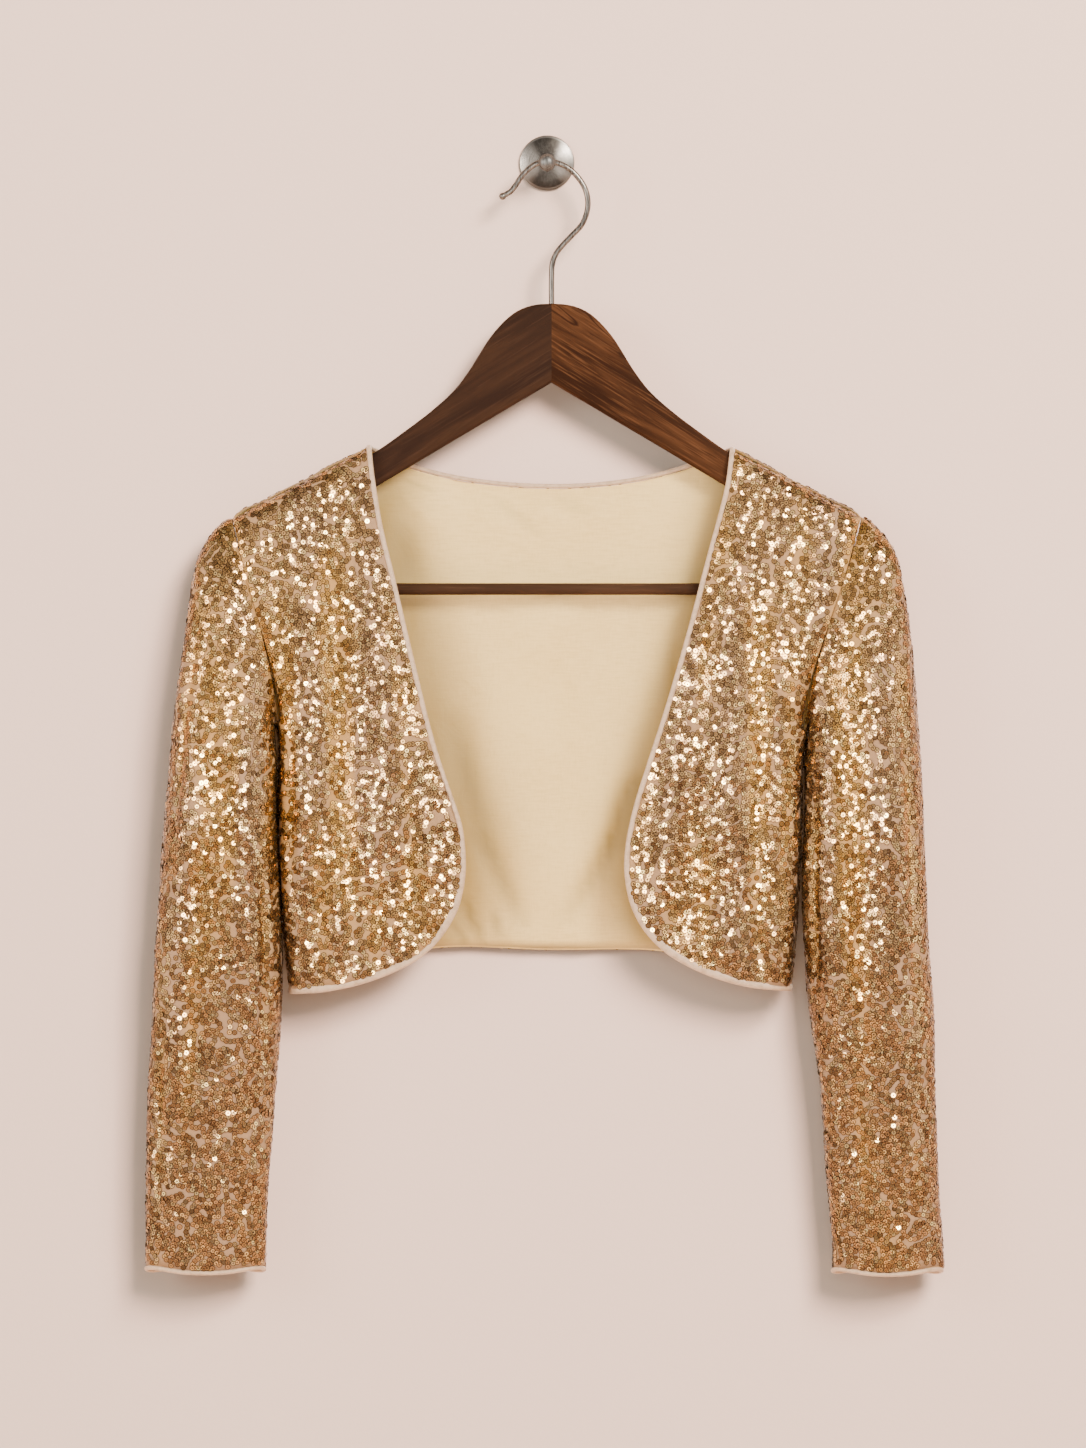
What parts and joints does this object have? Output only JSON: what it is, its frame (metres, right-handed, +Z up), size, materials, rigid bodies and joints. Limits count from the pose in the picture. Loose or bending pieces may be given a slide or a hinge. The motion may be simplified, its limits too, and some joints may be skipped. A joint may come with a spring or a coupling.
{
  "type": "cropped sequin jacket with long sleeves and an open front, on a wooden clothes hanger and a steel wall hook",
  "caption": "Cropped open-front sequin jacket with long sleeves, bound in satin, on a dark wooden hanger that hangs from a steel wall hook.",
  "frame": {"origin": "centre of the wall plate's back face, on the wall", "axes": "+Z up; +Y into the wall, so the jacket faces -Y; +X to the right as seen from the front"},
  "size_m": [0.5512, 0.062, 0.7881],
  "materials": {
    "sequin_cloth": "satin",
    "satin_lining": "satin",
    "satin_binding": "satin",
    "dark_walnut": "satin",
    "brushed_steel": "brushed"
  },
  "bodies": {
    "root": {"front_right": "sequin_cloth", "front_left": "sequin_cloth", "back_panel": "sequin_cloth", "sleeve_right": "sequin_cloth", "sleeve_left": "sequin_cloth", "back_lining": "satin_lining", "back_neck_binding": "satin_binding", "front_binding_right": "satin_binding", "front_binding_left": "satin_binding", "cuff_binding_right": "satin_binding", "cuff_binding_left": "satin_binding", "hanger_arm_right": "dark_walnut", "hanger_arm_left": "dark_walnut", "hanger_bar": "dark_walnut", "hanger_hook": "brushed_steel", "wall_plate": "brushed_steel", "wall_peg": "brushed_steel"}
  },
  "joints": []
}
